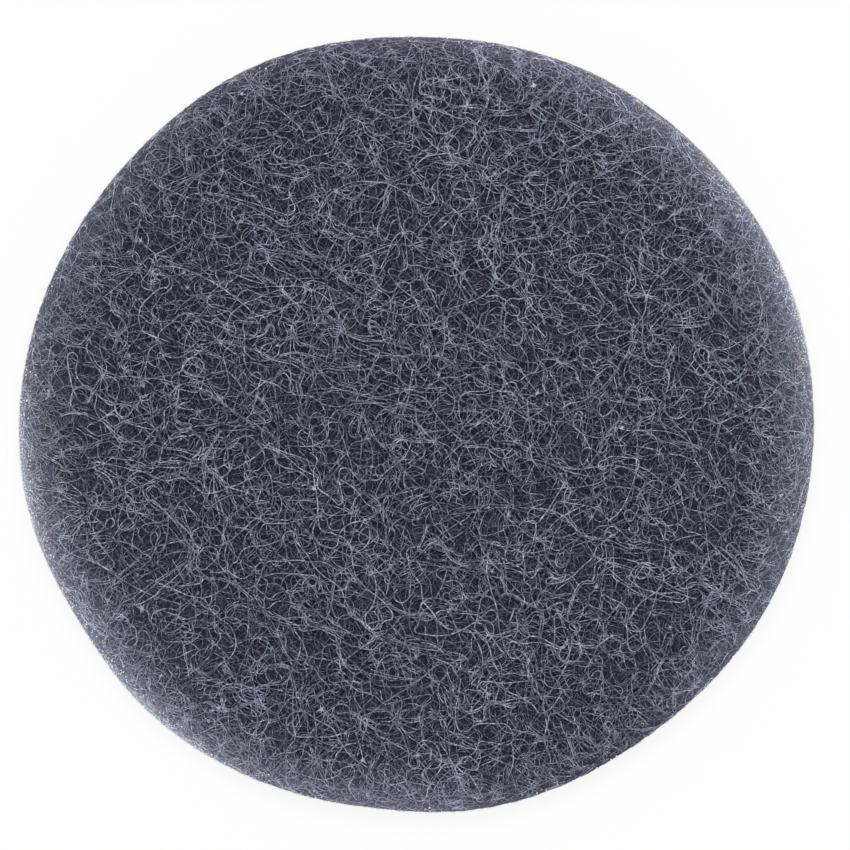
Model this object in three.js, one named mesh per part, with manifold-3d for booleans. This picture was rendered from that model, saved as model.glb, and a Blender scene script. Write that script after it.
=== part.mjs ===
// Round abrasive hand pad: one disc of crimped, resin-bonded fibre web, cut from the sheet as one piece.
// Millimetres, +Z up. The pad lies flat, its lower face on z = 0 and its outline centred over the origin.
// The web is one solid: a slightly sunken ground, and curly strands that stand up from it on both faces.
// The strands' crowns are pressed flat, so each face rests on one plane, and they run over the rolled edge.
import * as THREE from "three";
import { mergeVertices } from "three/addons/utils/BufferGeometryUtils.js";
import Module from "manifold-3d";

// Overall size of the cut disc, which is a little wider than it is deep.
const PAD_WIDTH = 125;
const PAD_DEPTH = 122;
const PAD_THICKNESS = 9;

// The cut edge: a short upright wall with a roll above and below it, wider at the ends of the pad's width.
const EDGE_WALL = 1.6;
const EDGE_ROLL_AT_SIDES = 4.6;
const EDGE_ROLL_AT_FRONT = 2.8;

// Where the outline swells out of its oval (+) or is cut flat (-): degrees from +X, height and half spread.
const OUTLINE_SWELLS = [
  { at: 62, height: 0.6, spread: 25 },
  { at: 110, height: 0.65, spread: 13 },
  { at: 152, height: -0.5, spread: 19 },
  { at: 210, height: -0.85, spread: 11 },
  { at: 262, height: -0.45, spread: 8 },
  { at: 311, height: -0.65, spread: 14 },
];

// The strands on each face, and the ground that lies below their crowns.
const STRAND_WIDTH = 1.2;
const STRAND_CROWN = 1;
const STRANDS_PER_FACE = 43;
const STRAND_STEP = 3.8;
const STRAND_SEED = 20;

// A strand's curl: arcs of a tight or wide radius and a sweep in degrees, most of them bending back.
const ARCS_PER_STRAND = 2;
const CURL_RADIUS_TIGHT = 4.5;
const CURL_RADIUS_WIDE = 17;
const CURL_SWEEP_LEAST = 70;
const CURL_SWEEP_MOST = 150;
const SHARE_BENDING_BACK = 0.7;
const LEAST_STEPS_IN_ARC = 3;

// How finely the round forms are faceted.
const FACETS_AROUND = 96;
const FACETS_IN_ROLL = 4;

const TURN = 2 * Math.PI;
const RADIANS = Math.PI / 180;
const OVERCUT = 1;

const wasm = await Module();
wasm.setup();

// A repeatable stream of numbers from 0 to 1.
function numberStream(seed) {
  let state = seed;
  return () => {
    state = (state * 1664525 + 1013904223) % 4294967296;
    return state / 4294967296;
  };
}

// A closed three.js geometry as a solid that can be joined and cut.
function solidOf(geometry) {
  const bare = geometry.index ? geometry.toNonIndexed() : geometry;
  const shell = new THREE.BufferGeometry();
  shell.setAttribute("position", bare.getAttribute("position"));
  const merged = mergeVertices(shell, 1e-4);
  return new wasm.Manifold(
    new wasm.Mesh({
      numProp: 3,
      vertProperties: merged.attributes.position.array,
      triVerts: new Uint32Array(merged.index.array),
    }),
  );
}

function geometryOf(solid) {
  const mesh = solid.getMesh();
  const geometry = new THREE.BufferGeometry();
  geometry.setAttribute("position", new THREE.BufferAttribute(mesh.vertProperties, 3));
  geometry.setIndex(new THREE.BufferAttribute(mesh.triVerts, 1));
  const flat = geometry.toNonIndexed();
  flat.computeVertexNormals();
  return flat;
}

// Distance from the oval's middle to the cut edge, at an angle from +X.
function outlineRadius(angle) {
  const halfWidth = PAD_WIDTH / 2;
  const halfDepth = PAD_DEPTH / 2;
  const oval =
    (halfWidth * halfDepth) /
    Math.hypot(halfDepth * Math.cos(angle), halfWidth * Math.sin(angle));
  return OUTLINE_SWELLS.reduce((radius, swell) => {
    const away = Math.atan2(
      Math.sin(angle - swell.at * RADIANS),
      Math.cos(angle - swell.at * RADIANS),
    );
    return radius + swell.height * Math.exp(-0.5 * (away / (swell.spread * RADIANS)) ** 2);
  }, oval);
}

// How wide the roll is at an angle from +X.
function rollWidth(angle) {
  const middle = (EDGE_ROLL_AT_SIDES + EDGE_ROLL_AT_FRONT) / 2;
  const swing = (EDGE_ROLL_AT_SIDES - EDGE_ROLL_AT_FRONT) / 2;
  return middle + swing * Math.cos(2 * angle);
}

const outline = Array.from({ length: FACETS_AROUND }, (_, i) => {
  const angle = (i / FACETS_AROUND) * TURN;
  const radius = outlineRadius(angle);
  return new THREE.Vector2(radius * Math.cos(angle), radius * Math.sin(angle));
});
const outlineMiddle = new THREE.Box2().setFromPoints(outline).getCenter(new THREE.Vector2());

// The disc with its cut outline and rolled edge, and each face sunk by a depth. It starts as a lathed round,
// whose radius is 1 at the roll's inner side and 2 at the wall, and is drawn out to the outline at each angle.
function rolledDisc(sunk) {
  const top = PAD_THICKNESS - sunk;
  const wallTop = (PAD_THICKNESS + EDGE_WALL) / 2;
  const rollHeight = top - wallTop;
  const upper = Array.from({ length: FACETS_IN_ROLL + 1 }, (_, i) => {
    const lean = (i / FACETS_IN_ROLL) * (Math.PI / 2);
    return new THREE.Vector2(1 + Math.cos(lean), wallTop + rollHeight * Math.sin(lean));
  });
  const lower = upper.map((p) => new THREE.Vector2(p.x, PAD_THICKNESS - p.y)).reverse();
  const profile = [
    new THREE.Vector2(0, sunk),
    ...lower,
    ...upper,
    new THREE.Vector2(0, top),
  ];
  const disc = new THREE.LatheGeometry(profile, FACETS_AROUND).rotateX(Math.PI / 2);
  const place = disc.getAttribute("position");
  for (let i = 0; i < place.count; i++) {
    const x = place.getX(i);
    const y = place.getY(i);
    const reach = Math.hypot(x, y);
    const angle = Math.round((Math.atan2(y, x) / TURN) * FACETS_AROUND) * (TURN / FACETS_AROUND);
    const roll = rollWidth(angle);
    const face = outlineRadius(angle) - roll;
    const radius = face * Math.min(reach, 1) + roll * Math.max(reach - 1, 0);
    place.setX(i, radius * Math.cos(angle) - outlineMiddle.x);
    place.setY(i, radius * Math.sin(angle) - outlineMiddle.y);
  }
  return solidOf(disc);
}

// One strand's line: a few arcs, each of its own curl, from a start point, in steps.
function strandLine(start, random) {
  const points = [start.clone()];
  let heading = random() * TURN;
  let side = Math.sign(random() - 0.5);
  for (let arc = 0; arc < ARCS_PER_STRAND; arc++) {
    const radius = THREE.MathUtils.lerp(CURL_RADIUS_TIGHT, CURL_RADIUS_WIDE, random() ** 2);
    const sweep = THREE.MathUtils.lerp(CURL_SWEEP_LEAST, CURL_SWEEP_MOST, random()) * RADIANS;
    const steps = Math.max(LEAST_STEPS_IN_ARC, Math.round((radius * sweep) / STRAND_STEP));
    const stride = (radius * sweep) / steps;
    for (let i = 0; i < steps; i++) {
      heading += (side * sweep) / steps;
      const last = points[points.length - 1];
      const x = last.x + stride * Math.cos(heading);
      const y = last.y + stride * Math.sin(heading);
      points.push(new THREE.Vector2(x, y));
    }
    side = random() < SHARE_BENDING_BACK ? -side : side;
  }
  return points;
}

// A strand's line as an upright ribbon between two heights.
function ribbon(line, low, high) {
  const half = STRAND_WIDTH / 2;
  const sideways = line.map((_, i) => {
    const before = line[Math.max(0, i - 1)];
    const after = line[Math.min(line.length - 1, i + 1)];
    const along = after.clone().sub(before).setLength(half);
    return new THREE.Vector2(-along.y, along.x);
  });
  const left = line.map((point, i) => point.clone().add(sideways[i]));
  const right = line.map((point, i) => point.clone().sub(sideways[i])).reverse();
  const tape = new THREE.ExtrudeGeometry(new THREE.Shape([...left, ...right]), {
    depth: high - low,
    bevelEnabled: false,
    steps: 1,
  });
  return solidOf(tape.translate(0, 0, low));
}

// The strands of one face, started on a sunflower spiral so that they cover it evenly.
function strandLayer(random, low, high) {
  const goldenAngle = Math.PI * (3 - Math.sqrt(5));
  const reach = PAD_WIDTH / 2 - EDGE_ROLL_AT_SIDES;
  const ribbons = Array.from({ length: STRANDS_PER_FACE }, (_, i) => {
    const radius = reach * Math.sqrt((i + 0.5) / STRANDS_PER_FACE);
    const angle = i * goldenAngle;
    const start = new THREE.Vector2(radius * Math.cos(angle), radius * Math.sin(angle));
    return ribbon(strandLine(start, random), low, high);
  });
  return wasm.Manifold.union(ribbons);
}

const random = numberStream(STRAND_SEED);
const middleHeight = PAD_THICKNESS / 2;
const upperStrands = strandLayer(random, middleHeight, PAD_THICKNESS + OVERCUT);
const lowerStrands = strandLayer(random, -OVERCUT, middleHeight);
const ground = rolledDisc(STRAND_CROWN);
const web = ground.add(upperStrands).add(lowerStrands).intersect(rolledDisc(0));

const webMaterial = new THREE.MeshStandardMaterial({
  name: "fibre_web",
  color: new THREE.Color(0.2, 0.21, 0.26),
  roughness: 0.85,
  metalness: 0,
});

const pad = new THREE.Group();
const webDisc = new THREE.Mesh(geometryOf(web), webMaterial);
webDisc.name = "abrasive_web_disc";
pad.add(webDisc);

export default pad;
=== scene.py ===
import math

import bpy
import numpy as np
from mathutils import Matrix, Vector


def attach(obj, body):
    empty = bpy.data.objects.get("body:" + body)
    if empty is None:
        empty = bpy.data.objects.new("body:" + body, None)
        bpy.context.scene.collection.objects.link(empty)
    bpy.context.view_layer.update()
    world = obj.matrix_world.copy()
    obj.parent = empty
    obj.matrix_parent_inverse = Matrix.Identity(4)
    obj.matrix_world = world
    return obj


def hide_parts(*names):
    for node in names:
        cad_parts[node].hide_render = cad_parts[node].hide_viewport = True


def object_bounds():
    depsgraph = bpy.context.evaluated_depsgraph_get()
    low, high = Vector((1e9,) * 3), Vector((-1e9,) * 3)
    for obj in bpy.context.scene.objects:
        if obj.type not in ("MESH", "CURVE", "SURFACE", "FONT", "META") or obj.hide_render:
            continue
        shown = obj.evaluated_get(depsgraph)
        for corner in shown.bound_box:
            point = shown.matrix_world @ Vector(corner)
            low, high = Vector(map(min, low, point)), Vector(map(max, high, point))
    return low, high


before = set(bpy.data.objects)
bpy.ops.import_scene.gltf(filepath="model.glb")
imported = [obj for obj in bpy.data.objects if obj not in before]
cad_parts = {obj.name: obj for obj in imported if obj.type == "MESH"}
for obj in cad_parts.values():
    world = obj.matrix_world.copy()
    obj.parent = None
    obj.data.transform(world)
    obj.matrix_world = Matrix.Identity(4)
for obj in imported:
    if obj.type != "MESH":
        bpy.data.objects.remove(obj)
cad_low, cad_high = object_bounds()

# The web's core: the dense middle of the sheet, which shows as dark crossing fibres deep in every pit. It is
# crimped nylon, laid in a random web and set with sprayed resin. A die cut the disc from that sheet, so its
# edge is pinched and rolled, and its outline is a little oval and uneven.
MM = 0.001
OVAL_WIDTH = 125 * MM
OVAL_DEPTH = 122 * MM
EDGE_WALL = 1.6 * MM
EDGE_ROLL_AT_SIDES = 4.6 * MM
EDGE_ROLL_AT_FRONT = 2.8 * MM
OUTLINE_SWELLS = (  # degrees from +X, height, half spread in degrees
    (26, 0.48 * MM, 13),
    (62, 0.85 * MM, 16),
    (113, 0.95 * MM, 12),
    (152, -0.5 * MM, 19),
    (210, -1 * MM, 9.5),
    (247, -0.42 * MM, 15),
    (264, -0.55 * MM, 8),
    (308, -0.8 * MM, 13),
)
thickness = cad_high.z - cad_low.z
middle_height = (cad_high.z + cad_low.z) / 2
roll_height = (thickness - EDGE_WALL) / 2


def near(angle, at, spread):
    """How near angles from +X are to one given in degrees: 1 there, and less over a spread in degrees."""
    away = np.angle(np.exp(1j * (angle - math.radians(at))))
    return np.exp(-0.5 * (away / math.radians(spread)) ** 2)


def pointing(angle):
    return np.stack([np.cos(angle), np.sin(angle)], axis=-1)


def oval_radius(angle):
    """Distance from the oval's middle to the cut edge."""
    half_width, half_depth = OVAL_WIDTH / 2, OVAL_DEPTH / 2
    radius = half_width * half_depth / np.hypot(half_depth * np.cos(angle), half_width * np.sin(angle))
    for at, height, spread in OUTLINE_SWELLS:
        radius = radius + height * near(angle, at, spread)
    return radius


def roll_width(angle):
    middle = (EDGE_ROLL_AT_SIDES + EDGE_ROLL_AT_FRONT) / 2
    swing = (EDGE_ROLL_AT_SIDES - EDGE_ROLL_AT_FRONT) / 2
    return middle + swing * np.cos(2 * angle)


turn = np.linspace(0, 2 * math.pi, 720)
outline_x = oval_radius(turn) * np.cos(turn)
outline_y = oval_radius(turn) * np.sin(turn)
outline_middle = np.array([np.ptp(outline_x) / 2 + outline_x.min(), np.ptp(outline_y) / 2 + outline_y.min()])


def flat_reach(angle):
    """How far the face's flat part goes, and how far the roll goes when it is laid out flat."""
    roll = roll_width(angle)
    return oval_radius(angle) - roll, math.pi / 2 * np.sqrt((roll**2 + roll_height**2) / 2)


def on_web(flat, depth, side):
    """Wraps points of one face, laid out flat, over the rolled edge at a depth below the surface."""
    reach = np.hypot(flat[..., 0], flat[..., 1])
    angle = np.arctan2(flat[..., 1], flat[..., 0])
    face, arc = flat_reach(angle)
    lean = np.clip((reach - face) / arc, 0, 1) * math.pi / 2
    under = np.clip((reach - face - arc - EDGE_WALL) / arc, 0, 1) * math.pi / 2
    down = np.clip(reach - face - arc, 0, EDGE_WALL)
    radius = np.minimum(reach, face) + roll_width(angle) * (np.sin(lean) + np.cos(under) - 1)
    height = EDGE_WALL / 2 - down + roll_height * (np.cos(lean) - np.sin(under))
    outward = np.sin(lean) * np.cos(under)
    upward = np.cos(lean) - np.sin(under)
    across = radius - depth * outward
    place = np.stack(
        [
            across * np.cos(angle) - outline_middle[0],
            across * np.sin(angle) - outline_middle[1],
            middle_height + side * (height - depth * upward),
        ],
        axis=-1,
    )
    normal = np.stack([outward * np.cos(angle), outward * np.sin(angle), side * upward], axis=-1)
    return place, normal


# Towards the cut edge the web is crushed, and painted paler as painted light, more so at the two ends of the
# pad's width.
HAZE_DEPTH = 3.6 * MM
HAZE_MIDDLE = 0.6
HAZE_AT_ENDS = 0.48
HAZE_ENDS_TURN = math.radians(23)
HAZE_AT_RIM = 0.27
# Painted sparkle: the rim is painted paler still where the grain is bared.
HAZE_AND_SPARKLE_WHERE_BARED = 1.1
HAZE_RIM_DEPTH = 1.1 * MM
HAZE_PATCHES = (  # degrees from +X, more haze, half spread in degrees
    (167, -0.36, 9),
    (222, 0.08, 14),
    (270, 0.41, 9),
    (300, -0.16, 14),
)

# Along some stretches the die broke the grain out of the resin and bared it; there the rim is also painted
# paler, a painted sparkle.
BARED_AND_SPARKLING_STRETCHES = (  # degrees from +X, bareness, half spread in degrees
    (18, 0.7, 6),
    (38, 0.45, 3),
    (186, 1, 10),
    (230, 1, 9),
)


def bared(angle):
    """How far the grain is bared at an angle from +X, up to about 1, and so how much painted sparkle the rim
    gets.
    """
    return sum(most * near(angle, at, spread) for at, most, spread in BARED_AND_SPARKLING_STRETCHES)


def haze_around(angle):
    """How crushed the cut edge is at an angle from +X, and how much paler it is painted there, as painted
    light.
    """
    haze = HAZE_MIDDLE + HAZE_AT_ENDS * np.cos(2 * (angle - HAZE_ENDS_TURN))
    for at, more, spread in HAZE_PATCHES:
        haze = haze + more * near(angle, at, spread)
    return haze


def edge_crush_and_light(place):
    """How crushed the web is and how pale it is painted, as painted light: 0 well inside, about 1 at the cut
    edge, more at bared grain.
    """
    x, y = place[..., 0] + outline_middle[0], place[..., 1] + outline_middle[1]
    angle = np.arctan2(y, x)
    inside = np.maximum(oval_radius(angle) - np.hypot(x, y), 0)
    at_rim = HAZE_AT_RIM + HAZE_AND_SPARKLE_WHERE_BARED * bared(angle)
    return np.exp(-inside / HAZE_DEPTH) * haze_around(angle) + np.exp(-inside / HAZE_RIM_DEPTH) * at_rim


# The web lies in loose heaps and hollows, a few millimetres across, which the core and the laps share.
HEAP_WAVES = 24
HEAP_SHORTEST = 2.2 * MM
HEAP_LONGEST = 6 * MM
rng = np.random.default_rng(11)
heap_heading = rng.uniform(0, 2 * math.pi, (2, HEAP_WAVES))
heap_spread = rng.uniform(HEAP_SHORTEST, HEAP_LONGEST, (2, HEAP_WAVES))
heap_phase = rng.uniform(0, 2 * math.pi, (2, HEAP_WAVES))


def heaps(flat, side):
    """How high the web stands at points of a face laid out flat, about 1 on a heap and -1 in a hollow,
    and which way it rises there."""
    face = np.where(np.asarray(side) > 0, 0, 1)
    height, rise = 0, 0
    for wave in range(HEAP_WAVES):
        heading, steepness = heap_heading[face, wave], 2 * math.pi / heap_spread[face, wave]
        onward = pointing(heading)
        phase = steepness * (flat * onward).sum(axis=-1) + heap_phase[face, wave]
        height = height + np.cos(phase)
        rise = rise - onward * (steepness * np.sin(phase))[..., None]
    return height / math.sqrt(HEAP_WAVES / 2), rise / math.sqrt(HEAP_WAVES / 2)


CORE_SECTORS = 256
CORE_RINGS = 140
CORE_DEPTH = 1.8 * MM
CORE_DEPTH_AT_EDGE = 0.12 * MM
CORE_SET_AT_EDGE = 0.9
CORE_RISE_INSIDE = 4 * MM
CORE_HEAPS = 0.25 * MM
CORE_LUMPS = 0.5 * MM
CORE_LUMP_SIZE = 2.2 * MM

bpy.ops.object.select_all(action="DESELECT")
bpy.ops.mesh.primitive_uv_sphere_add(segments=CORE_SECTORS, ring_count=CORE_RINGS, radius=1)
core = bpy.context.object
core.name = core.data.name = "web_core"
ball = np.empty(len(core.data.vertices) * 3)
core.data.vertices.foreach_get("co", ball)
ball = ball.reshape(-1, 3)
from_pole = np.arccos(np.clip(np.abs(ball[:, 2]), 0, 1)) / (math.pi / 2)
sector = np.arctan2(ball[:, 1], ball[:, 0])
core_face, core_arc = flat_reach(sector)
core_reach = from_pole * (core_face + core_arc + EDGE_WALL / 2)
core_flat = core_reach[:, None] * pointing(sector)
edge_share = np.clip((core_reach - core_face + CORE_RISE_INSIDE) / (core_arc + CORE_RISE_INSIDE), 0, 1)
edge_share = np.sin(edge_share * math.pi / 2)
core_side = np.where(ball[:, 2] >= 0, 1, -1)
core_depth = CORE_DEPTH - CORE_HEAPS * heaps(core_flat, core_side)[0]
core_depth = core_depth + (CORE_DEPTH_AT_EDGE - core_depth) * edge_share
core_place, _ = on_web(core_flat, core_depth, core_side)
core.data.vertices.foreach_set("co", core_place.ravel())

loose = core.vertex_groups.new(name="loose")
for vertex, share in enumerate(1 - CORE_SET_AT_EDGE * edge_share):
    loose.add([vertex], share, "REPLACE")
lumps = bpy.data.textures.new("web_lumps", "CLOUDS")
lumps.noise_scale = CORE_LUMP_SIZE
lumps.noise_depth = 2
swell = core.modifiers.new("lumps", "DISPLACE")
swell.texture = lumps
swell.texture_coords = "LOCAL"
swell.vertex_group = "loose"
swell.strength = CORE_LUMPS
swell.mid_level = 0.5
bpy.ops.object.modifier_apply(modifier="lumps")
bpy.ops.object.shade_smooth()

# The core's own map lays its two halves out flat, side by side, so its pattern isn't drawn out at the edge.
MAP_HALF = 0.245
map_reach = (core_face + core_arc + EDGE_WALL / 2).max()
core_map = core.data.uv_layers.active
core_map.name = "OFBake"
corners = np.empty(len(core.data.loops), dtype=np.int32)
core.data.loops.foreach_get("vertex_index", corners)
polygon_start = np.empty(len(core.data.polygons), dtype=np.int32)
polygon_size = np.empty(len(core.data.polygons), dtype=np.int32)
core.data.polygons.foreach_get("loop_start", polygon_start)
core.data.polygons.foreach_get("loop_total", polygon_size)
face_side = np.sign(np.add.reduceat(ball[corners, 2], polygon_start))
loop_side = np.repeat(face_side, polygon_size)
unrolled = core_flat[corners] / map_reach * MAP_HALF
unrolled[:, 0] = unrolled[:, 0] + 0.5 - 0.25 * loop_side
unrolled[:, 1] = unrolled[:, 1] * loop_side + 0.5
core_map.data.foreach_set("uv", unrolled.ravel())
# The haze attribute paints the core paler towards the cut edge: painted edge light.
core_haze = core.data.attributes.new("haze", "FLOAT", "POINT")
core_haze.data.foreach_set("value", edge_crush_and_light(core_place))


def as_linear(red, green, blue):
    """A colour written as it looks on screen, 0 to 255, for a shader's socket."""
    shares = (red / 255, green / 255, blue / 255)
    return (*(s / 12.92 if s <= 0.04045 else ((s + 0.055) / 1.055) ** 2.4 for s in shares), 1)


def add_node(tree, kind, place=(0, 0), **settings):
    node = tree.nodes.new(kind)
    node.location = place
    for name, value in settings.items():
        setattr(node, name, value)
    return node


def new_group(name, inputs, outputs):
    group = bpy.data.node_groups.new(name, "ShaderNodeTree")
    for socket, kind, value in inputs:
        made = group.interface.new_socket(socket, in_out="INPUT", socket_type=kind)
        if value is not None:
            made.default_value = value
    for socket, kind in outputs:
        group.interface.new_socket(socket, in_out="OUTPUT", socket_type=kind)
    return group, add_node(group, "NodeGroupInput", (-900, 0)), add_node(group, "NodeGroupOutput", (900, 0))


def wire(tree, *pairs):
    for source, target in pairs:
        tree.links.new(source, target)


def combine(tree, operation, first, second, place):
    node = add_node(tree, "ShaderNodeMath", place, operation=operation)
    wire(tree, (first, node.inputs[0]), (second, node.inputs[1]))
    return node.outputs["Value"]


def product(tree, first, second, place):
    return combine(tree, "MULTIPLY", first, second, place)


# Slate-blue nylon under clear resin: from the near-black of a pit, which is painted shade, through the grey
# of a bare fibre, to the near-white of the painted edge light.
SLATE_TONES = (
    (0.0, as_linear(27, 29, 43)),
    (0.25, as_linear(85, 90, 109)),
    (0.5, as_linear(147, 152, 169)),
    (0.72, as_linear(205, 210, 225)),
    (1.0, as_linear(250, 250, 255)),
)
# At the cut edge the web is crushed, hazier and a little more purple; the paleness is painted light.
EDGE_TONES = (
    (0.0, as_linear(108, 106, 122)),
    (0.25, as_linear(166, 165, 184)),
    (0.5, as_linear(222, 221, 238)),
    (1.0, as_linear(255, 255, 255)),
)
# The dye took a little unevenly: some fibres came out cooler and some warmer.
COOL_DYE = (0.96, 1.006, 1.038, 1)
WARM_DYE = (1.036, 0.994, 0.994, 1)
web_colour, given, made = new_group(
    "web_colour",
    (("Tone", "NodeSocketFloat", 0.5), ("Haze", "NodeSocketFloat", 0.0), ("Warmth", "NodeSocketFloat", 0.5)),
    (("Color", "NodeSocketColor"),),
)
shades = []
for row, tones in enumerate((SLATE_TONES, EDGE_TONES)):
    ramp = add_node(web_colour, "ShaderNodeValToRGB", (-500, 200 - 300 * row))
    while len(ramp.color_ramp.elements) < len(tones):
        ramp.color_ramp.elements.new(0.5)
    for element, (position, colour) in zip(ramp.color_ramp.elements, tones):
        element.position = position
        element.color = colour
    wire(web_colour, (given.outputs["Tone"], ramp.inputs["Fac"]))
    shades.append(ramp)
blend = add_node(web_colour, "ShaderNodeMix", (300, 0), data_type="RGBA")
dye = add_node(web_colour, "ShaderNodeMix", (300, -300), data_type="RGBA", clamp_factor=False)
dye.inputs["A"].default_value = COOL_DYE
dye.inputs["B"].default_value = WARM_DYE
dyed = add_node(web_colour, "ShaderNodeMix", (600, 0), data_type="RGBA", blend_type="MULTIPLY")
dyed.inputs["Factor"].default_value = 1
wire(
    web_colour,
    (given.outputs["Haze"], blend.inputs["Factor"]),
    (shades[0].outputs["Color"], blend.inputs["A"]),
    (shades[1].outputs["Color"], blend.inputs["B"]),
    (given.outputs["Warmth"], dye.inputs["Factor"]),
    (blend.outputs["Result"], dyed.inputs["A"]),
    (dye.outputs["Result"], dyed.inputs["B"]),
    (dyed.outputs["Result"], made.inputs["Color"]),
)

# One layer of short bent fibres: each cell of a scattered pattern holds one, at an angle and bow of its own.
STRAY_BOW = 0.9
LAYER_SHIFT = (17.31, 9.73, 0)
stray_fibres, given, made = new_group(
    "stray_fibres",
    (
        ("Vector", "NodeSocketVector", None),
        ("Fibres Across", "NodeSocketFloat", 60.0),
        ("Width", "NodeSocketFloat", 0.06),
        ("Layer", "NodeSocketFloat", 0.0),
    ),
    (("Fibre", "NodeSocketFloat"),),
)
spread = add_node(stray_fibres, "ShaderNodeVectorMath", (-700, 100), operation="SCALE")
shift = add_node(stray_fibres, "ShaderNodeVectorMath", (-700, -100), operation="SCALE")
shift.inputs[0].default_value = LAYER_SHIFT
moved = add_node(stray_fibres, "ShaderNodeVectorMath", (-550, 0), operation="ADD")
cell = add_node(stray_fibres, "ShaderNodeTexVoronoi", (-400, 0), voronoi_dimensions="2D")
cell.inputs["Scale"].default_value = 1
local = add_node(stray_fibres, "ShaderNodeVectorMath", (-200, 100), operation="SUBTRACT")
local_parts = add_node(stray_fibres, "ShaderNodeSeparateXYZ", (-50, 100))
chance = add_node(stray_fibres, "ShaderNodeSeparateColor", (-200, -100))
heading = add_node(stray_fibres, "ShaderNodeMath", (-50, -100), operation="MULTIPLY")
heading.inputs[1].default_value = 2 * math.pi
sine = add_node(stray_fibres, "ShaderNodeMath", (100, -50), operation="SINE")
cosine = add_node(stray_fibres, "ShaderNodeMath", (100, -200), operation="COSINE")
wire(
    stray_fibres,
    (given.outputs["Vector"], spread.inputs[0]),
    (given.outputs["Fibres Across"], spread.inputs["Scale"]),
    (given.outputs["Layer"], shift.inputs["Scale"]),
    (spread.outputs["Vector"], moved.inputs[0]),
    (shift.outputs["Vector"], moved.inputs[1]),
    (moved.outputs["Vector"], cell.inputs["Vector"]),
    (moved.outputs["Vector"], local.inputs[0]),
    (cell.outputs["Position"], local.inputs[1]),
    (local.outputs["Vector"], local_parts.inputs[0]),
    (cell.outputs["Color"], chance.inputs[0]),
    (chance.outputs["Red"], heading.inputs[0]),
    (heading.outputs["Value"], sine.inputs[0]),
    (heading.outputs["Value"], cosine.inputs[0]),
)
x, y = local_parts.outputs["X"], local_parts.outputs["Y"]
sin_out, cos_out = sine.outputs["Value"], cosine.outputs["Value"]
along = combine(
    stray_fibres,
    "ADD",
    product(stray_fibres, x, cos_out, (250, 200)),
    product(stray_fibres, y, sin_out, (250, 50)),
    (400, 150),
)
across = combine(
    stray_fibres,
    "SUBTRACT",
    product(stray_fibres, y, cos_out, (250, -100)),
    product(stray_fibres, x, sin_out, (250, -250)),
    (400, -150),
)
bow = add_node(stray_fibres, "ShaderNodeMapRange", (250, -400))
bow.inputs["To Min"].default_value = -STRAY_BOW
bow.inputs["To Max"].default_value = STRAY_BOW
wire(stray_fibres, (chance.outputs["Green"], bow.inputs["Value"]))
along_squared = product(stray_fibres, along, along, (550, 150))
bowed = product(stray_fibres, along_squared, bow.outputs["Result"], (550, 0))
off_line = combine(stray_fibres, "SUBTRACT", across, bowed, (700, -100))
distance = add_node(stray_fibres, "ShaderNodeMath", (700, -250), operation="ABSOLUTE")
profile = add_node(stray_fibres, "ShaderNodeMapRange", (750, 100), interpolation_type="SMOOTHSTEP")
profile.inputs["From Max"].default_value = 0
wire(
    stray_fibres,
    (off_line, distance.inputs[0]),
    (distance.outputs["Value"], profile.inputs["Value"]),
    (given.outputs["Width"], profile.inputs["From Min"]),
    (profile.outputs["Result"], made.inputs["Fibre"]),
)

# Each deeper layer of the core's fibres is darker, and the gaps between them stay at tone 0: painted shade,
# darkest in the pits.
CORE_LAYERS = (  # cells across the map, fibre width in cells, tone
    (130, 0.06, 0.36),
    (150, 0.06, 0.30),
    (175, 0.065, 0.24),
    (205, 0.07, 0.18),
    (240, 0.08, 0.13),
    (280, 0.08, 0.09),
)
DYE_PATCHES_ACROSS = 150
core_look = bpy.data.materials.new("web_core_fibre")
core_look.use_nodes = True
tree = core_look.node_tree
shader = tree.nodes["Principled BSDF"]
shader.inputs["Roughness"].default_value = 0.8
shader.inputs["Specular IOR Level"].default_value = 0.25
own_map = add_node(tree, "ShaderNodeUVMap", (-1500, 0), uv_map="OFBake")
layer_tones = []
for layer, (cells, width, level) in enumerate(CORE_LAYERS):
    fibres = add_node(tree, "ShaderNodeGroup", (-1200, 300 - 200 * layer))
    fibres.node_tree = stray_fibres
    fibres.inputs["Fibres Across"].default_value = cells
    fibres.inputs["Width"].default_value = width
    fibres.inputs["Layer"].default_value = layer + 1
    wire(tree, (own_map.outputs["UV"], fibres.inputs["Vector"]))
    lit = add_node(tree, "ShaderNodeMath", (-1000, 300 - 200 * layer), operation="MULTIPLY")
    lit.inputs[1].default_value = level
    wire(tree, (fibres.outputs["Fibre"], lit.inputs[0]))
    layer_tones.append(lit.outputs["Value"])
tone = layer_tones[0]
for row, layer_tone in enumerate(layer_tones[1:]):
    tone = combine(tree, "MAXIMUM", tone, layer_tone, (-800, 100 - 200 * row))
colour = add_node(tree, "ShaderNodeGroup", (-300, 200))
colour.node_tree = web_colour
dye_patches = add_node(tree, "ShaderNodeTexNoise", (-700, 500), noise_dimensions="2D")
dye_patches.inputs["Scale"].default_value = DYE_PATCHES_ACROSS
dye_patches.inputs["Detail"].default_value = 2
dye_range = add_node(tree, "ShaderNodeMapRange", (-500, 500))
dye_range.inputs["From Min"].default_value = 0.3
dye_range.inputs["From Max"].default_value = 0.65
dye_range.inputs["To Min"].default_value = -0.7
dye_range.inputs["To Max"].default_value = 1.2
wire(
    tree,
    (own_map.outputs["UV"], dye_patches.inputs["Vector"]),
    (dye_patches.outputs["Fac"], dye_range.inputs["Value"]),
    (dye_range.outputs["Result"], colour.inputs["Warmth"]),
)
relief = add_node(tree, "ShaderNodeBump", (-300, -200))
relief.inputs["Strength"].default_value = 0.6
relief.inputs["Distance"].default_value = 0.4 * MM
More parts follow.
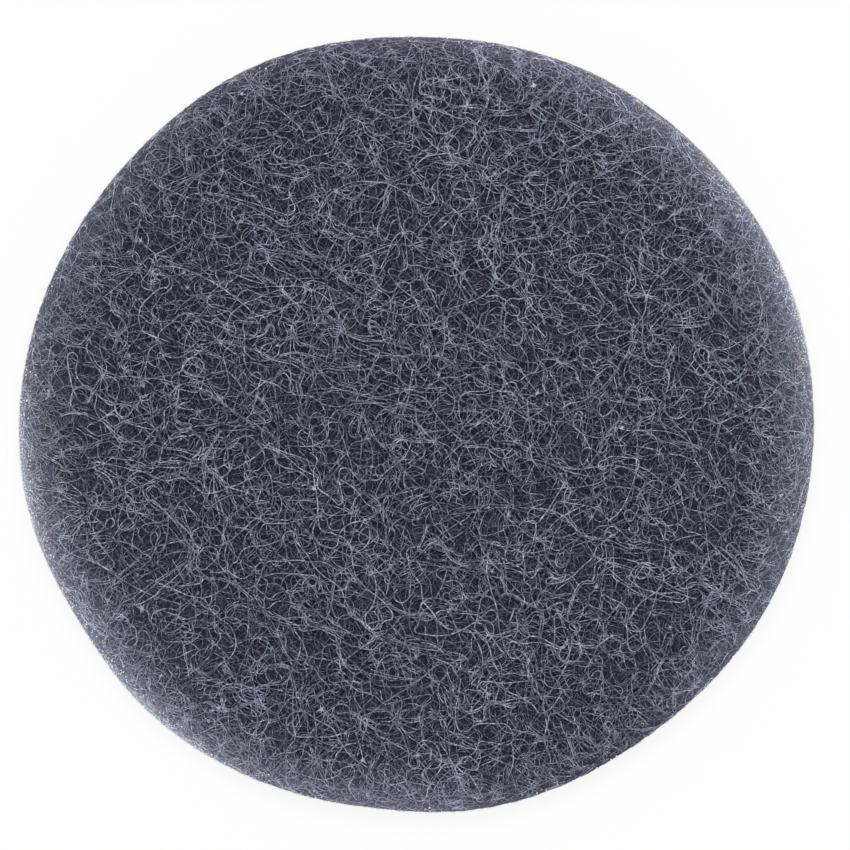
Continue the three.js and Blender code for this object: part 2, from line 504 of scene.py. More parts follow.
# Pale specks painted on the core, strongest at its palest edge: painted glints, for loose grain in the
# crushed edge.
GLINTS_ACROSS = 760
GLINT_SHARE = 0.16
haze = add_node(tree, "ShaderNodeAttribute", (-1200, -800), attribute_name="haze")
grains_and_glints = add_node(tree, "ShaderNodeTexVoronoi", (-1200, -1000), voronoi_dimensions="2D")
grains_and_glints.inputs["Scale"].default_value = GLINTS_ACROSS
glint_chance = add_node(tree, "ShaderNodeSeparateColor", (-1000, -1000))
chosen = add_node(tree, "ShaderNodeMath", (-850, -1000), operation="LESS_THAN")
chosen.inputs[1].default_value = GLINT_SHARE
speck = add_node(tree, "ShaderNodeMapRange", (-1000, -1200), interpolation_type="SMOOTHSTEP")
speck.inputs["From Min"].default_value = 0.45
speck.inputs["From Max"].default_value = 0.1
wire(
    tree,
    (own_map.outputs["UV"], grains_and_glints.inputs["Vector"]),
    (grains_and_glints.outputs["Color"], glint_chance.inputs[0]),
    (glint_chance.outputs["Red"], chosen.inputs[0]),
    (grains_and_glints.outputs["Distance"], speck.inputs["Value"]),
)
glint = product(tree, speck.outputs["Result"], chosen.outputs["Value"], (-700, -1000))
haze_squared = product(tree, haze.outputs["Fac"], haze.outputs["Fac"], (-700, -800))
glint = product(tree, glint, haze_squared, (-550, -900))
# Where the haze runs past 1, at bared grain, the core is painted paler still: a painted frost of glints.
PAINTED_FROST = 0.3
bare = add_node(tree, "ShaderNodeMath", (-850, -600), operation="SUBTRACT", use_clamp=True)
bare.inputs[1].default_value = 1
frost = add_node(tree, "ShaderNodeMath", (-700, -600), operation="MULTIPLY")
frost.inputs[1].default_value = PAINTED_FROST
wire(tree, (haze.outputs["Fac"], bare.inputs[0]), (bare.outputs["Value"], frost.inputs[0]))
frosted = combine(tree, "ADD", tone, frost.outputs["Value"], (-550, 0))
brightened = combine(tree, "ADD", frosted, glint, (-450, 100))
# The core's colour takes painted edge light from its haze, and adds a painted frost and painted glints.
wire(
    tree,
    (haze.outputs["Fac"], colour.inputs["Haze"]),
    (brightened, colour.inputs["Tone"]),
    (colour.outputs["Color"], shader.inputs["Base Color"]),
    (tone, relief.inputs["Height"]),
    (relief.outputs["Normal"], shader.inputs["Normal"]),
)
core.data.materials.append(core_look)
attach(core, "root")
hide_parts("abrasive_web_disc")

# The laps: layer on layer of long crimped fibres that make the open web of both faces and wrap over the
# edge. Each is nylon staple coated in resin and grain, thicker where the coating gathers, and bonded where
# it meets others.
FIBRE_WIDTH = 0.15 * MM
FIBRE_SHORT = 18 * MM
FIBRE_LONG = 48 * MM
WALK_STEP = 0.15 * MM
whole_reach = sum(flat_reach(turn)).max() + EDGE_WALL
GOLDEN_TURN = math.pi * (3 - math.sqrt(5))
SCATTER = 0.3


def scattered(count, inner=0):
    """Points spread evenly over a face laid out flat, or only over its border, from inner outwards."""
    share = (np.arange(count) + rng.uniform(0, 1, count)) / count
    reach = np.sqrt(inner**2 + share * (whole_reach**2 - inner**2))
    first_angle = rng.uniform(0, 2 * math.pi)
    turns = np.arange(count) + rng.uniform(-SCATTER, SCATTER, count)
    angle = first_angle + GOLDEN_TURN * turns
    return reach[:, None] * pointing(angle)


# Resin bonds: the places where several fibres were glued together, and the ways in which they leave it.
BOND_COUNT = 560
BOND_ARMS = 6
ARM_SWING = 0.35
BONDED_SHARE = 0.3
GATHERING = 0.032 * MM * MM
GATHERING_ROUNDS = 4


def gathered(flat, side):
    """Points drawn towards the heaps, as wet resin draws fibres together and opens the pits."""
    return flat + GATHERING * heaps(flat, side)[1]


bonds = {side: scattered(BOND_COUNT) for side in (1, -1)}
for side in bonds:
    for _ in range(GATHERING_ROUNDS):
        bonds[side] = gathered(bonds[side], side)
bond_turns = {}
for side in bonds:
    swing = rng.uniform(-ARM_SWING, ARM_SWING, (BOND_COUNT, BOND_ARMS))
    bond_turns[side] = (np.arange(BOND_ARMS) + swing) * 2 * math.pi / BOND_ARMS

# A crimped fibre runs on in stretches, nearly straight, openly curved or sharply crimped, most bending back.
STRETCH_KINDS = (  # share, least bend, most bend
    (0.26, 0, 0.2 / MM),
    (0.50, 0.3 / MM, 1.0 / MM),
    (0.24, 1.1 / MM, 1.9 / MM),
)
STRETCH_LENGTH = 2.5 * MM
STRETCH_SWEEP = 2.1
CRIMP_LEAST = 1 / MM
CRIMP_SWEEP_MOST = 2.4
CURVE_SWEEP_MOST = 3.8
BENDING_BACK = 0.76
BEND_EASE = 0.2 * MM
LAY_TURN = math.radians(154)
PULL_TO_LAY = 0.045 / MM


def crimped_walks(starts, heading, longest, side):
    """Fibres drawn out in short steps, bending in stretches, and turning a little to the lay of the web."""
    count, steps = len(starts), int(longest / WALK_STEP)
    shares, least, most = (np.array(column) for column in zip(*STRETCH_KINDS))
    bend, aim, swept = np.zeros(count), np.zeros(count), np.zeros(count)
    walks = np.empty((count, steps, 2))
    walks[:, 0] = starts
    for step in range(1, steps):
        kind = rng.choice(len(shares), count, p=shares)
        way = np.where(rng.uniform(0, 1, count) < BENDING_BACK, -1, 1) * np.where(aim < 0, -1, 1)
        fresh = way * rng.uniform(least[kind], most[kind])
        ending = rng.uniform(0, 1, count) < WALK_STEP * (1 / STRETCH_LENGTH + np.abs(aim) / STRETCH_SWEEP)
        ending |= swept > np.where(np.abs(aim) > CRIMP_LEAST, CRIMP_SWEEP_MOST, CURVE_SWEEP_MOST)
        swept = np.where(ending, 0, swept + np.abs(bend) * WALK_STEP)
        aim = np.where(ending, fresh, aim)
        bend += (aim - bend) * WALK_STEP / BEND_EASE
        pull = -PULL_TO_LAY * np.sin(2 * (heading - side * LAY_TURN))
        heading = heading + (bend + pull) * WALK_STEP
        walks[:, step] = walks[:, step - 1] + WALK_STEP * pointing(heading)
    return walks


# The fibres are laid as evenly as a carding machine lays them: each is the one of a few tried that crowds
# the web least. What runs off the edge counts as crowded.
FIBRES_TRIED = 4
EVENING_CELL = 4.5 * MM
OUTSIDE_CROWDING = 1.5


def evenly_laid(walks, count):
    """The numbers of the fibres to lay, chosen one after the other from small groups."""
    cells = int(2 * whole_reach / EVENING_CELL)
    spot = ((walks / whole_reach + 1) / 2 * cells).astype(int).clip(0, cells - 1)
    spot = spot[..., 0] * cells + spot[..., 1]
    outside = np.hypot(walks[..., 0], walks[..., 1]) > whole_reach
    crowd = np.zeros(cells * cells)
    laid = []
    for group in np.array_split(rng.permutation(len(walks)), count):
        crowding = np.where(outside[group], OUTSIDE_CROWDING * crowd.mean(), crowd[spot[group]]).mean(axis=1)
        chosen = group[np.argmin(crowding)]
        crowd += np.bincount(spot[chosen][~outside[chosen]], minlength=len(crowd))
        laid.append(chosen)
    return np.array(laid)


def mesh_piece(name, places, loops, sizes, map_places):
    """A smooth closed mesh from its corners' numbers, with its own map, as a piece that rides on the pad."""
    mesh = bpy.data.meshes.new(name)
    mesh.vertices.add(len(places))
    mesh.vertices.foreach_set("co", places.ravel())
    mesh.loops.add(len(loops))
    mesh.loops.foreach_set("vertex_index", loops)
    mesh.polygons.add(len(sizes))
    mesh.polygons.foreach_set("loop_start", np.r_[0, np.cumsum(sizes)[:-1]])
    mesh.polygons.foreach_set("use_smooth", np.ones(len(sizes), dtype=bool))
    mesh.update(calc_edges=True)
    mesh.uv_layers.new(name="OFBake").data.foreach_set("uv", map_places.ravel())
    piece = bpy.data.objects.new(name, mesh)
    bpy.context.scene.collection.objects.link(piece)
    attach(piece, "root")
    return piece


# A fibre's map is a chart of finishes: its length runs across the chart, and up it go three shades of dye,
# from cool to warm, each of them from the darkest tone to the palest.
CHART_LENGTH = 64 * MM
DYE_SHADES = 3
CHART_STEP = 0.004  # between a face's corners, which gives it some area


def chart_height(tone, shade=1):
    return (shade + np.clip(tone, 0.02, 0.95)) / DYE_SHADES


TUBE_SIDES = 3
TUBE_CORNERS = math.pi / 2 + np.arange(TUBE_SIDES) * 2 * math.pi / TUBE_SIDES


def tube_piece(name, place, normal, radius, ran, tone, shade, fibre):
    """Thin closed tubes along lines of points; fibre numbers the line that each point is on."""
    count = len(place)
    starts = np.r_[True, fibre[1:] != fibre[:-1]]
    ends = np.r_[starts[1:], True]
    index = np.arange(count)
    before = np.where(starts, index, index - 1)
    after = np.where(ends, index, index + 1)
    along = place[after] - place[before]
    sideways = np.cross(along, normal)
    sideways /= np.linalg.norm(sideways, axis=1, keepdims=True)
    upright = np.cross(sideways, along)
    upright /= np.linalg.norm(upright, axis=1, keepdims=True)
    ring = (
        place[:, None]
        + radius[:, None, None] * np.cos(TUBE_CORNERS)[None, :, None] * sideways[:, None]
        + radius[:, None, None] * np.sin(TUBE_CORNERS)[None, :, None] * upright[:, None]
    )
    here = index[~ends]
    corner = np.arange(TUBE_SIDES)
    following = (corner + 1) % TUBE_SIDES
    base = here[:, None] * TUBE_SIDES
    ahead = base + TUBE_SIDES
    quads = np.stack([base + corner, ahead + corner, ahead + following, base + following], axis=-1)
    near_caps = index[starts][:, None] * TUBE_SIDES + corner
    far_caps = index[ends][:, None] * TUBE_SIDES + corner[::-1]
    caps = np.concatenate([near_caps, far_caps])
    loops = np.concatenate([quads.ravel(), caps.ravel()])
    sizes = np.concatenate([np.full(quads.size // 4, 4), np.full(len(caps), TUBE_SIDES)])
    point, side = loops // TUBE_SIDES, loops % TUBE_SIDES
    offset = rng.uniform(0, 1, fibre.max() + 1)[fibre] * (1 - FIBRE_LONG / CHART_LENGTH)
    u = (offset + ran / CHART_LENGTH)[point]
    v = chart_height(tone, shade[fibre])[point] + CHART_STEP * side / DYE_SHADES
    return mesh_piece(name, ring.reshape(-1, 3), loops, sizes, np.stack([u, v], axis=-1))


# Along a fibre the coating is uneven: it gathers over a millimetre or two, and is grainy at a third of one.
COAT_PATCHES = ((1.3 * MM, 0.34), (0.36 * MM, 0.6))  # size, strength
COAT_LANES = 23  # patches across the tones, so that fibres of unlike tone differ
coat_unevenness, given, made = new_group(
    "coat_unevenness",
    (("Along", "NodeSocketFloat", 0.0), ("Level", "NodeSocketFloat", 0.5)),
    (("Tone", "NodeSocketFloat"),),
)
uneven = given.outputs["Level"]
for row, (size, strength) in enumerate(COAT_PATCHES):
    scale = add_node(coat_unevenness, "ShaderNodeMath", (-700, -250 * row), operation="MULTIPLY")
    scale.inputs[1].default_value = CHART_LENGTH / size
    lane = add_node(coat_unevenness, "ShaderNodeMath", (-700, -100 - 250 * row), operation="MULTIPLY")
    lane.inputs[1].default_value = COAT_LANES
    spot = add_node(coat_unevenness, "ShaderNodeCombineXYZ", (-500, -250 * row))
    patches = add_node(coat_unevenness, "ShaderNodeTexNoise", (-300, -250 * row), noise_dimensions="2D")
    patches.inputs["Scale"].default_value = 1
    patches.inputs["Detail"].default_value = 0
    centred = add_node(coat_unevenness, "ShaderNodeMath", (-100, -250 * row), operation="SUBTRACT")
    centred.inputs[1].default_value = 0.5
    swing = add_node(coat_unevenness, "ShaderNodeMath", (50, -250 * row), operation="MULTIPLY")
    swing.inputs[1].default_value = strength
    wire(
        coat_unevenness,
        (given.outputs["Along"], scale.inputs[0]),
        (given.outputs["Level"], lane.inputs[0]),
        (scale.outputs["Value"], spot.inputs["X"]),
        (lane.outputs["Value"], spot.inputs["Y"]),
        (spot.outputs["Vector"], patches.inputs["Vector"]),
        (patches.outputs["Fac"], centred.inputs[0]),
        (centred.outputs["Value"], swing.inputs[0]),
    )
    uneven = combine(coat_unevenness, "ADD", uneven, swing.outputs["Value"], (300, -250 * row))
wire(coat_unevenness, (uneven, made.inputs["Tone"]))


def coated_look(name, haze, glossy):
    """Resin-coated nylon, read from the chart of finishes: uneven along the fibre, shinier where pale."""
    look = bpy.data.materials.new(name)
    look.use_nodes = True
    tree = look.node_tree
    shader = tree.nodes["Principled BSDF"]
    shader.inputs["Specular IOR Level"].default_value = 0.4
    own_map = add_node(tree, "ShaderNodeUVMap", (-1100, 0), uv_map="OFBake")
    parts = add_node(tree, "ShaderNodeSeparateXYZ", (-900, 0))
    row = add_node(tree, "ShaderNodeMath", (-900, -200), operation="MULTIPLY")
    row.inputs[1].default_value = DYE_SHADES
    level = add_node(tree, "ShaderNodeMath", (-700, -100), operation="FRACT")
    shade = add_node(tree, "ShaderNodeMath", (-700, -300), operation="FLOOR")
    warmth = add_node(tree, "ShaderNodeMath", (-550, -300), operation="DIVIDE")
    warmth.inputs[1].default_value = DYE_SHADES - 1
    coat = add_node(tree, "ShaderNodeGroup", (-700, 100))
    coat.node_tree = coat_unevenness
    colour = add_node(tree, "ShaderNodeGroup", (-400, 200))
    colour.node_tree = web_colour
    # The haze paints the whole piece paler: painted edge light.
    colour.inputs["Haze"].default_value = haze
    gloss = add_node(tree, "ShaderNodeMapRange", (-400, -200))
    gloss.inputs["To Min"].default_value = 0.8
    gloss.inputs["To Max"].default_value = glossy
    wire(
        tree,
        (own_map.outputs["UV"], parts.inputs[0]),
        (parts.outputs["X"], coat.inputs["Along"]),
        (parts.outputs["Y"], row.inputs[0]),
        (row.outputs["Value"], level.inputs[0]),
        (row.outputs["Value"], shade.inputs[0]),
        (shade.outputs["Value"], warmth.inputs[0]),
        (warmth.outputs["Value"], colour.inputs["Warmth"]),
        (level.outputs["Value"], coat.inputs["Level"]),
        (coat.outputs["Tone"], colour.inputs["Tone"]),
        (coat.outputs["Tone"], gloss.inputs["Value"]),
        (colour.outputs["Color"], shader.inputs["Base Color"]),
        (gloss.outputs["Result"], shader.inputs["Roughness"]),
    )
    return look


PAIRED_SHARE = 0.22
PAIR_GAP = 0.2 * MM
PAIR_PARTS_AFTER = (3, 9)  # millimetres
PAIR_LENGTH = (0.3, 0.6)  # share of its neighbour's length
CUT_ON_WALL = (-0.2, 1)  # share of the wall's height, from its near side
SWAY_WAVES = (4, 11)  # millimetres
THICKNESS_SPREAD = (0.7, 1.25)
COAT_SWELL = 0.3
COAT_SWELL_SPACING = 1.7 * MM
TONE_SPREAD = 0.09
DYE_SPREAD = 0.6
WARMER_BAND = 16 * MM
WARMER_SWING = 0.8
# Painted shade: fibres are painted darker the deeper they lie in the web.
PAINTED_SHADE_BY_DEPTH = 0.22 / MM
# Painted light: fibres are painted paler towards the cut edge.
PAINTED_EDGE_LIGHT = 0.28
HEAP_HEIGHT = 0.18 * MM
# Painted light and shade: fibres are painted paler on the heaps and darker in the hollows.
HEAP_LIGHT_AND_SHADE = 0.03
THINNER_IN_HAZE = 0.3
BEND_PER_SEGMENT = math.radians(38)


def lay_lap(name, side, starts, heading, lengths, depths, sways, sink, tone_level, longest_segment, width):
    """One lap of fibres on one side of the pad, between two depths, which may sink towards the edge."""
    walks = crimped_walks(starts, heading, lengths[1], side)
    count = len(starts) // FIBRES_TRIED
    walks = gathered(walks[evenly_laid(walks[:, : int(sum(lengths) / 2 / WALK_STEP)], count)], side)
    length = rng.uniform(*lengths, count)
    base = rng.uniform(*depths, count)
    ran = np.arange(walks.shape[1]) * WALK_STEP

    # Some fibres run along beside another for a while, and then part from it.
    paired = np.flatnonzero(rng.uniform(0, 1, count) < PAIRED_SHARE)
    direction = np.gradient(walks[paired], axis=1) / WALK_STEP
    sideways = np.stack([-direction[..., 1], direction[..., 0]], axis=-1)
    parting = rng.uniform(*PAIR_PARTS_AFTER, len(paired))[:, None] * MM
    gap = rng.choice((-1, 1), len(paired))[:, None] * PAIR_GAP * (1 + (ran / parting) ** 2)
    walks = np.concatenate([walks, walks[paired] + sideways * gap[..., None]])
    length = np.concatenate([length, rng.uniform(*PAIR_LENGTH, len(paired)) * length[paired]])
    base = np.concatenate([base, base[paired]])
    count = len(walks)

    reach = np.hypot(walks[..., 0], walks[..., 1])
    face, arc = flat_reach(np.arctan2(walks[..., 1], walks[..., 0]))
    limit = face + arc + EDGE_WALL * rng.uniform(*CUT_ON_WALL, count)[:, None]
    kept = np.cumprod((ran < length[:, None]) & (reach < limit), axis=1).astype(bool)

    # Points are kept where the fibre has run or turned enough since the last one.
    onward = np.diff(walks, axis=1, prepend=2 * walks[:, :1] - walks[:, 1:2]) @ (1, 1j)
    turns = np.angle(onward[:, 1:] / onward[:, :-1])
    turned = np.pad(np.abs(turns), ((0, 0), (1, 0)))
    cost = np.cumsum(WALK_STEP / longest_segment + turned / BEND_PER_SEGMENT, axis=1)
    last = kept & ~np.pad(kept, ((0, 0), (0, 1)))[:, 1:]
    used = kept & ((np.diff(np.floor(cost), axis=1, prepend=-1) > 0) | last)
    used &= (used.sum(axis=1) > 2)[:, None]
    fibre, at = np.nonzero(used)
    ran = at * WALK_STEP
    flat = walks[fibre, at]

    sway = rng.uniform(*sways, count)
    wave = rng.uniform(*SWAY_WAVES, count) * MM
    phase = rng.uniform(0, 2 * math.pi, count)[fibre]
    height = heaps(flat, side)[0]
    over_edge = np.clip((reach - face) / arc, 0, 1)[fibre, at]
    depth = base[fibre] + sway[fibre] * np.sin(ran / wave[fibre] * 2 * math.pi + phase)
    depth = depth - HEAP_HEIGHT * height + sink * over_edge
    gather = (0.5 + 0.5 * np.sin(ran / COAT_SWELL_SPACING + 3 * phase)) ** 6
    haze = edge_crush_and_light(on_web(flat, depth, side)[0])
    radius = width / 2 * rng.uniform(*THICKNESS_SPREAD, count)[fibre]
    radius = radius * (1 + COAT_SWELL * gather) * (1 - THINNER_IN_HAZE * haze)
    depth = np.maximum(depth, radius)
    place, normal = on_web(flat, depth, side)
    tone = tone_level + rng.uniform(-TONE_SPREAD, TONE_SPREAD, count)
    # Painted shade by depth, then painted light and shade over the heaps, and painted light towards the cut
    # edge.
    tone = tone[fibre] * (1 - PAINTED_SHADE_BY_DEPTH * depth)
    tone = tone + HEAP_LIGHT_AND_SHADE * height + PAINTED_EDGE_LIGHT * haze
    # The dye is warmer in a band across the middle of the pad.
    band = 2 * WARMER_SWING * np.exp(-((walks[:, 0, 1] / WARMER_BAND) ** 2)) - WARMER_SWING
    shade = np.clip(np.round(1 + band + rng.normal(0, DYE_SPREAD, count)), 0, DYE_SHADES - 1)
    return tube_piece(name, place, normal, radius, ran, tone, shade, fibre)


EDGE_SINK = 0.18 * MM
fibre_look = coated_look("resin_coated_fibre", 0, 0.5)
LAPS = (  # name, side, fibres, depths, sways, tone, longest segment, share of a fibre's width
    ("upper_lap_1", 1, 560, (0.05, 0.5), (0.02, 0.2), 0.482, 1.5, 1.26),
    ("upper_lap_2", 1, 670, (0.3, 0.9), (0.05, 0.35), 0.46, 1.5, 1.08),
    ("upper_lap_3", 1, 640, (0.7, 1.5), (0.2, 0.6), 0.41, 2.0, 0.92),
    ("lower_lap_1", -1, 560, (0.05, 0.7), (0.05, 0.4), 0.49, 1.8, 1.1),
    ("lower_lap_2", -1, 520, (0.5, 1.4), (0.2, 0.6), 0.44, 2.4, 1.15),
)
for name, side, count, depths, sways, tone_level, segment, width in LAPS:
    tried = count * FIBRES_TRIED
    starts = scattered(tried)
    heading = rng.uniform(0, 2 * math.pi, tried)
    bond = np.resize(rng.permutation(BOND_COUNT), tried)
    arm = rng.integers(0, BOND_ARMS, tried)
    bonded = rng.uniform(0, 1, tried) < BONDED_SHARE
    starts = np.where(bonded[:, None], bonds[side][bond], starts)
    heading = np.where(bonded, bond_turns[side][bond, arm], heading)
    lap = lay_lap(
        name,
        side,
        starts,
        heading,
        (FIBRE_SHORT, FIBRE_LONG),
        [depth * MM for depth in depths],
        [sway * MM for sway in sways],
        EDGE_SINK,
        tone_level,
        segment * MM,
        width * FIBRE_WIDTH,
    )
    lap.data.materials.append(fibre_look)

# The resin webs: small star-shaped films of cured resin, drawn out along the fibres that meet in each bond.
# They lie just below the surface, and are thickest in the middle.
FILM_ARM_LEAST = 0.3 * MM
FILM_ARM_MOST = 1.1 * MM
FILM_WAIST = 0.24
CHART_MIDDLE = (0.05, 0.95)
FILM_TONE = 0.38
FILM_TONE_SPREAD = 0.05
FILM_CROWN_PALER = 0.06
FILM_THICKNESS = 0.14 * MM
FILM_DEPTH_LEAST = 0.12 * MM
FILM_DEPTH_MOST = 0.5 * MM
STRONG_BONDS = 28
STRONG_WAIST = 1.5
STRONG_PALER = 0.12
film_look = coated_look("cured_resin_film", 0, 0.45)
for name, side in (("upper_resin_webs", 1), ("lower_resin_webs", -1)):
    arm = rng.uniform(FILM_ARM_LEAST, FILM_ARM_MOST, (BOND_COUNT, BOND_ARMS))
    waist = FILM_WAIST * (arm + np.roll(arm, -1, axis=1)) / 2
    turns = bond_turns[side]
    between = turns + math.pi / BOND_ARMS
    rim = 2 * BOND_ARMS
    rim_turn = np.stack([turns, between], axis=-1).reshape(BOND_COUNT, rim)
    rim_reach = np.stack([arm, waist], axis=-1).reshape(BOND_COUNT, rim)
    depth = rng.uniform(FILM_DEPTH_LEAST, FILM_DEPTH_MOST, BOND_COUNT)[:, None]
    # A few bonds hold more resin, so they are broader and stand nearer the surface.
    strong = rng.permutation(BOND_COUNT)[:STRONG_BONDS]
    depth[strong] = FILM_DEPTH_LEAST
    rim_reach[strong, 1::2] *= STRONG_WAIST
    rim_flat = bonds[side][:, None] + pointing(rim_turn) * rim_reach[..., None]
    rim_place, _ = on_web(rim_flat, depth + 0 * rim_reach, side)
    middle, outward = on_web(bonds[side][:, None], depth, side)
    crown = middle + outward * FILM_THICKNESS / 2
    base = middle - outward * FILM_THICKNESS / 2
    film_places = np.concatenate([rim_place, crown, base], axis=1)
    film_first = np.arange(BOND_COUNT)[:, None, None] * (rim + 2)
    corner = np.arange(rim)
    after = (corner + 1) % rim
    top = np.stack([corner, after, np.full(rim, rim)], axis=-1)
    bottom = np.stack([after, corner, np.full(rim, rim + 1)], axis=-1)
    faces = np.concatenate([top, bottom])
    loops = (film_first + (faces if side > 0 else faces[:, ::-1])).ravel()
    level = rng.normal(FILM_TONE, FILM_TONE_SPREAD, BOND_COUNT)
    # Painted light: films near the cut edge are painted paler too.
    level = level + PAINTED_EDGE_LIGHT * edge_crush_and_light(middle[:, 0])
    level[strong] += STRONG_PALER
    film, spoke = loops // (rim + 2), loops % (rim + 2)
    film_u = rng.uniform(*CHART_MIDDLE, BOND_COUNT)[film] + CHART_STEP * spoke / rim
    film_v = chart_height(level[film] + np.where(spoke < rim, 0, FILM_CROWN_PALER))
    films = mesh_piece(
        name,
        film_places.reshape(-1, 3),
        loops,
        np.full(len(loops) // 3, 3),
        np.stack([film_u, film_v], axis=-1),
    )
    films.data.materials.append(film_look)

# The cut edge: short, fine ends of fibre that the die crushed together, which make the edge close and hazy.
# They lie almost flush, and part sunk in the core, so the outline stays even.
CRUSHED_BAND = 9 * MM
CRUSHED_SHORT = 3 * MM
CRUSHED_LONG = 9 * MM
CRUSHED_DEPTH = 0.2 * MM
CRUSHED_SWAY = (0.02 * MM, 0.15 * MM)
CRUSHED_TONE = 0.2
CRUSHED_SEGMENT = 1.2 * MM
CRUSHED_WIDTH = 0.6 * FIBRE_WIDTH
# The crushed ends are painted paler by a fixed haze: painted edge light.
crushed_look = coated_look("crushed_edge_fibre", 0.8, 0.6)
for name, side, count in (("upper_edge_lap", 1, 3200), ("lower_edge_lap", -1, 900)):
    lap = lay_lap(
        name,
        side,
        scattered(count * FIBRES_TRIED, whole_reach - CRUSHED_BAND),
        rng.uniform(0, 2 * math.pi, count * FIBRES_TRIED),
        (CRUSHED_SHORT, CRUSHED_LONG),
        (0, CRUSHED_DEPTH),
        CRUSHED_SWAY,
        0,
        CRUSHED_TONE,
        CRUSHED_SEGMENT,
        CRUSHED_WIDTH,
    )
    lap.data.materials.append(crushed_look)

# Abrasive grain: pale, sharp crystals, too fine to see one by one inside the web, and bared where the die
# broke them out of the resin along the palest stretches of the cut edge. Their near-white tone is partly a
# painted glint.
GRAIN_ELSEWHERE = 0.1
GRAIN_COUNT = 11000
GRAIN_LEAST = 0.06 * MM
GRAIN_MOST = 0.21 * MM
GRAIN_BAND = 1.3 * MM
GRAIN_SIDES = 4
GRAIN_STARTS = 0.3  # share of the roll's width, from its inner side
GRAIN_ABOVE = 0.6  # share of the grain on the upper roll
GRAIN_SUNK = 0.4  # share of its own size
GRAIN_TONES = (0.7, 0.94)
GRAIN_CHART_STEP = 0.003
reach = whole_reach - EDGE_WALL / 2 - rng.exponential(GRAIN_BAND, GRAIN_COUNT)
angle = rng.uniform(0, 2 * math.pi, GRAIN_COUNT)
face, arc = flat_reach(angle)
reach = reach - whole_reach + face + arc + EDGE_WALL
chance = GRAIN_ELSEWHERE + bared(angle)
kept = (rng.uniform(0, 1, GRAIN_COUNT) < chance) & (reach > face + GRAIN_STARTS * arc)
angle, reach = angle[kept], reach[kept]
grain_flat = reach[:, None] * pointing(angle)
grain_side = np.where(rng.uniform(0, 1, len(reach)) < GRAIN_ABOVE, 1, -1)
size = rng.uniform(GRAIN_LEAST, GRAIN_MOST, len(reach))[:, None]
middle, outward = on_web(grain_flat, GRAIN_SUNK * size[:, 0], grain_side)
random_way = rng.normal(0, 1, (len(reach), 3))
across = np.cross(outward, random_way)
across /= np.linalg.norm(across, axis=1, keepdims=True)
upright = np.cross(outward, across)
belt = [
    middle + size * (math.cos(turn_at) * across + math.sin(turn_at) * upright)
    for turn_at in np.arange(GRAIN_SIDES) * 2 * math.pi / GRAIN_SIDES
]
grain_places = np.stack([*belt, middle + size * outward, middle - size * outward], axis=1)
corner = np.arange(GRAIN_SIDES)
after = (corner + 1) % GRAIN_SIDES
grain_faces = np.concatenate(
    [
        np.stack([corner, after, np.full(GRAIN_SIDES, GRAIN_SIDES)], axis=-1),
        np.stack([after, corner, np.full(GRAIN_SIDES, GRAIN_SIDES + 1)], axis=-1),
    ]
)
loops = (np.arange(len(reach))[:, None, None] * (GRAIN_SIDES + 2) + grain_faces).ravel()
grain, tip = loops // (GRAIN_SIDES + 2), loops % (GRAIN_SIDES + 2)
grain_u = rng.uniform(*CHART_MIDDLE, len(reach))[grain] + GRAIN_CHART_STEP * tip
grain_v = chart_height(rng.uniform(*GRAIN_TONES, len(reach))[grain] + GRAIN_CHART_STEP * (loops % 3))
grains_and_glints = mesh_piece(
    "edge_grain",
    grain_places.reshape(-1, 3),
    loops,
    np.full(len(loops) // 3, 3),
    np.stack([grain_u, grain_v], axis=-1),
)
# Full haze and near-white tones: the grain's colour is partly a painted glint.
grains_and_glints.data.materials.append(coated_look("bare_abrasive_grain", 1, 0.3))

# The floor: a plain white table top. The eye sees it white, and it still takes the pad's soft shadow.
FLOOR_SIZE = 4
FLOOR_SHADOW = 0.15
bpy.ops.mesh.primitive_plane_add(size=FLOOR_SIZE)
floor = bpy.context.object
floor.name = "floor"
floor_look = bpy.data.materials.new("white_floor")
floor_look.use_nodes = True
tree = floor_look.node_tree
tree.nodes.remove(tree.nodes["Principled BSDF"])
paint = add_node(tree, "ShaderNodeBsdfDiffuse", (-400, 100))
paint.inputs["Color"].default_value = (0.95, 0.95, 0.95, 1)
glow = add_node(tree, "ShaderNodeEmission", (-400, -100))
rays = add_node(tree, "ShaderNodeLightPath", (-900, 300))
seen = add_node(tree, "ShaderNodeMath", (-700, 300), operation="MAXIMUM")
seen_too = add_node(tree, "ShaderNodeMath", (-550, 300), operation="MAXIMUM")
whitened = add_node(tree, "ShaderNodeMath", (-400, 300), operation="MULTIPLY")
whitened.inputs[1].default_value = 1 - FLOOR_SHADOW
mixed = add_node(tree, "ShaderNodeMixShader", (-200, 0))
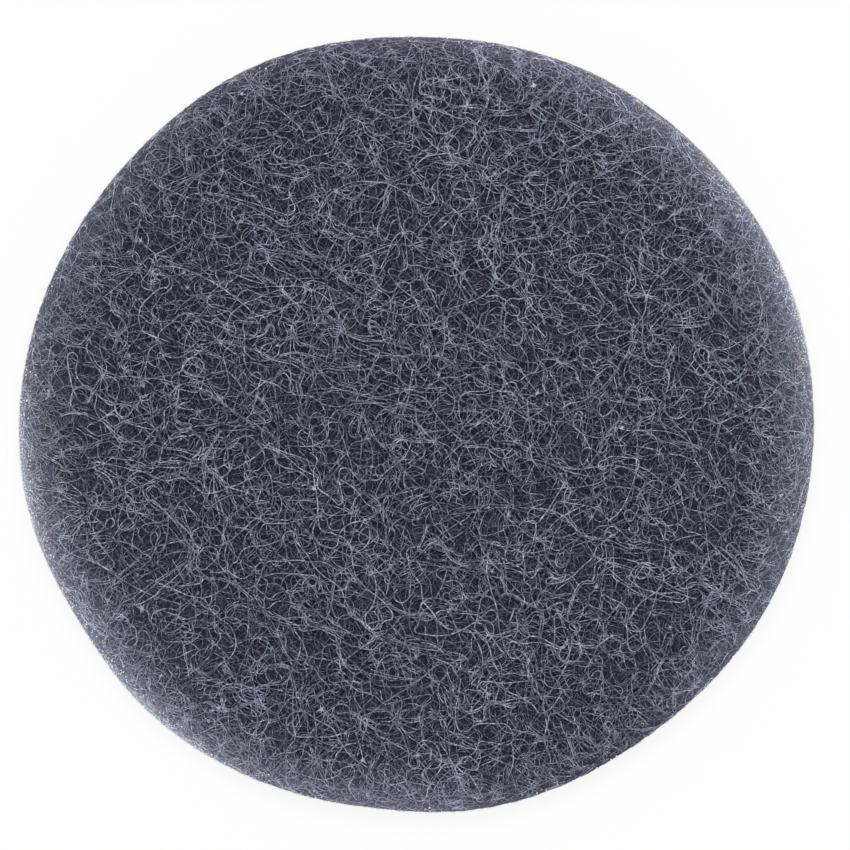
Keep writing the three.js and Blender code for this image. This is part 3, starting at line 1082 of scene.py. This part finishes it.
wire(
    tree,
    (rays.outputs["Is Camera Ray"], seen.inputs[0]),
    (rays.outputs["Is Glossy Ray"], seen.inputs[1]),
    (seen.outputs["Value"], seen_too.inputs[0]),
    (rays.outputs["Is Transmission Ray"], seen_too.inputs[1]),
    (seen_too.outputs["Value"], whitened.inputs[0]),
    (whitened.outputs["Value"], mixed.inputs["Fac"]),
    (paint.outputs["BSDF"], mixed.inputs[1]),
    (glow.outputs["Emission"], mixed.inputs[2]),
    (mixed.outputs["Shader"], tree.nodes["Material Output"].inputs["Surface"]),
)
floor.data.materials.append(floor_look)

# Studio light: a bright, even room, and one broad soft lamp overhead, a little to the back.
ROOM_LIGHT = 0.5
LAMP_SHARE = 0.55
LAMP_LEAN = 14
LAMP_SPREAD = 50
world = bpy.data.worlds.new("studio")
bpy.context.scene.world = world
world.use_nodes = True
world.node_tree.nodes["Background"].inputs["Color"].default_value = (1, 1, 1, 1)
world.node_tree.nodes["Background"].inputs["Strength"].default_value = ROOM_LIGHT
lamp_data = bpy.data.lights.new("soft_lamp", "SUN")
lamp_data.energy = LAMP_SHARE * math.pi / math.cos(math.radians(LAMP_LEAN))
lamp_data.angle = math.radians(LAMP_SPREAD)
lamp = bpy.data.objects.new("soft_lamp", lamp_data)
lamp.rotation_euler = (-math.radians(LAMP_LEAN), 0, 0)
bpy.context.scene.collection.objects.link(lamp)

# The camera looks straight down, and is framed as in the photograph, with the pad's ends at these pixels.
PHOTO_SIZE = 850
PAD_LEFT, PAD_RIGHT = 19.2, 813.9
PAD_CENTRE_ROW = 424.5
CAMERA_DISTANCE = 0.9
pixel = (cad_high.x - cad_low.x) / (PAD_RIGHT - PAD_LEFT)
camera_data = bpy.data.cameras.new("camera")
camera_data.lens = camera_data.sensor_width * CAMERA_DISTANCE / (pixel * PHOTO_SIZE)
camera = bpy.data.objects.new("camera", camera_data)
camera.location = (
    (PHOTO_SIZE / 2 - (PAD_LEFT + PAD_RIGHT) / 2) * pixel,
    (PAD_CENTRE_ROW - PHOTO_SIZE / 2) * pixel,
    middle_height + CAMERA_DISTANCE,
)
bpy.context.scene.collection.objects.link(camera)
bpy.context.scene.camera = camera
bpy.context.scene.view_settings.view_transform = "Standard"
